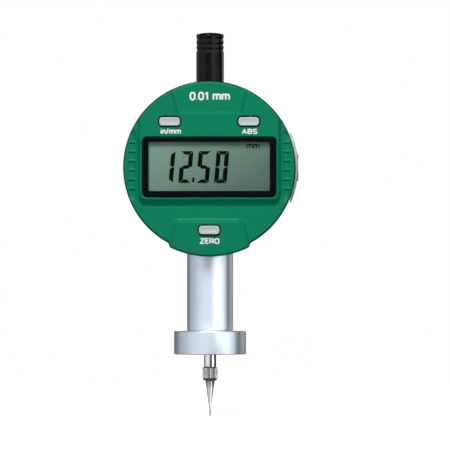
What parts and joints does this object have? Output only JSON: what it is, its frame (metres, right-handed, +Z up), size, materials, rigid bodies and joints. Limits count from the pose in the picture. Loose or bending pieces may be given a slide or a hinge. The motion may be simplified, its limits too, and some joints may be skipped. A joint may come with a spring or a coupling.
{
  "type": "digital dial indicator",
  "caption": "Round digital indicator with display, push buttons, capped sprung spindle, flat depth-gauge base on its stem and a needle contact point.",
  "frame": {"origin": "on the spindle's axis, in the plane of the depth base's measuring face", "axes": "+Z up along the spindle towards the dust cap, -Y out of the display towards the reader, +X to the reader's right"},
  "size_m": [0.0607, 0.0269, 0.1334],
  "materials": {
    "cover_plastic": "satin moulded green plastic",
    "case_plastic": "satin light grey plastic",
    "plate_plastic": "fine-textured light grey plastic",
    "lid_plastic": "satin grey plastic",
    "bezel_plastic": "semi-gloss black",
    "cap_plastic": "satin black moulded plastic",
    "button_plastic": "satin light grey",
    "clear_plastic": "clear gloss",
    "lcd_glass": "grey-green reflective display",
    "seal_rubber": "matt black",
    "port_rubber": "matt black",
    "chip_plastic": "matt black",
    "board_laminate": "green solder mask",
    "contact_metal": "plated spring bronze",
    "cell_steel": "bright plated can",
    "screw_steel": "bright steel",
    "guide_steel": "ground steel",
    "spindle_steel": "hard chromed, polished",
    "point_steel": "satin nickel",
    "base_steel": "fine-turned satin chrome",
    "spring_steel": "drawn wire",
    "carrier_aluminium": "milled",
    "bush_brass": "turned",
    "bumper_nylon": "natural nylon"
  },
  "bodies": {
    "body": {"front_cover": "cover_plastic", "rear_case": "case_plastic", "back_plate": "plate_plastic", "cover_screw_1": "screw_steel", "cover_screw_2": "screw_steel", "cover_screw_3": "screw_steel", "cover_screw_4": "screw_steel", "back_screw_1": "screw_steel", "back_screw_2": "screw_steel", "back_screw_3": "screw_steel", "back_screw_4": "screw_steel", "display_bezel": "bezel_plastic", "window_lens": "clear_plastic", "lcd_panel": "lcd_glass", "zebra_strip_upper": "seal_rubber", "zebra_strip_lower": "seal_rubber", "in_mm_switch": "contact_metal", "abs_switch": "contact_metal", "zero_switch": "contact_metal", "main_board": "board_laminate", "controller_chip": "chip_plastic", "board_connector": "chip_plastic", "reader_board": "board_laminate", "reader_chip": "chip_plastic", "battery_cell": "cell_steel", "battery_contact_minus": "contact_metal", "battery_contact_plus": "contact_metal", "battery_seal": "seal_rubber", "data_port_socket": "chip_plastic", "guide_rail": "guide_steel", "rail_screw_1": "screw_steel", "rail_screw_2": "screw_steel", "upper_bush": "bush_brass", "stem_bush_upper": "bush_brass", "stem_bush_lower": "bush_brass", "return_spring": "spring_steel", "travel_bumper": "bumper_nylon", "stem": "guide_steel", "depth_base": "base_steel", "base_set_screw_1": "screw_steel", "base_set_screw_2": "screw_steel"},
    "spindle": {"spindle": "spindle_steel", "contact_point": "point_steel", "scale_carrier": "carrier_aluminium", "encoder_scale": "board_laminate", "carrier_clamp_screw": "screw_steel", "guide_pin": "guide_steel"},
    "in_mm_button": {"in_mm_button": "button_plastic"},
    "abs_button": {"abs_button": "button_plastic"},
    "zero_button": {"zero_button": "button_plastic"},
    "dust_cap": {"dust_cap": "cap_plastic"},
    "battery_cover": {"battery_cover": "lid_plastic"},
    "data_port_cover": {"data_port_cover": "port_rubber"}
  },
  "joints": [
    {"name": "spindle_slide", "type": "slide", "parent": "body", "child": "spindle", "axis": [0, 0, 1], "range_m": [0, 0.0127], "stiffness_N_per_m": 30, "springref_m": -0.02, "deforming": ["return_spring"]},
    {"name": "in_mm_press", "type": "slide", "parent": "body", "child": "in_mm_button", "axis": [0, 1, 0], "range_m": [0, 0.0005], "stiffness_N_per_m": 1500, "springref_m": -0.0004},
    {"name": "abs_press", "type": "slide", "parent": "body", "child": "abs_button", "axis": [0, 1, 0], "range_m": [0, 0.0005], "stiffness_N_per_m": 1500, "springref_m": -0.0004},
    {"name": "zero_press", "type": "slide", "parent": "body", "child": "zero_button", "axis": [0, 1, 0], "range_m": [0, 0.0005], "stiffness_N_per_m": 1500, "springref_m": -0.0004},
    {"name": "dust_cap_lift", "type": "slide", "parent": "body", "child": "dust_cap", "axis": [0, 0, 1], "range_m": [0, 0.016]},
    {"name": "battery_cover_turn", "type": "hinge", "parent": "body", "child": "battery_cover", "pos_m": [-0.0146, 0.009, 0.0584], "axis": [0, 1, 0], "range_deg": [0, 45]},
    {"name": "data_port_cover_pull", "type": "slide", "parent": "body", "child": "data_port_cover", "axis": [1, 0, 0], "range_m": [0, 0.006]}
  ]
}
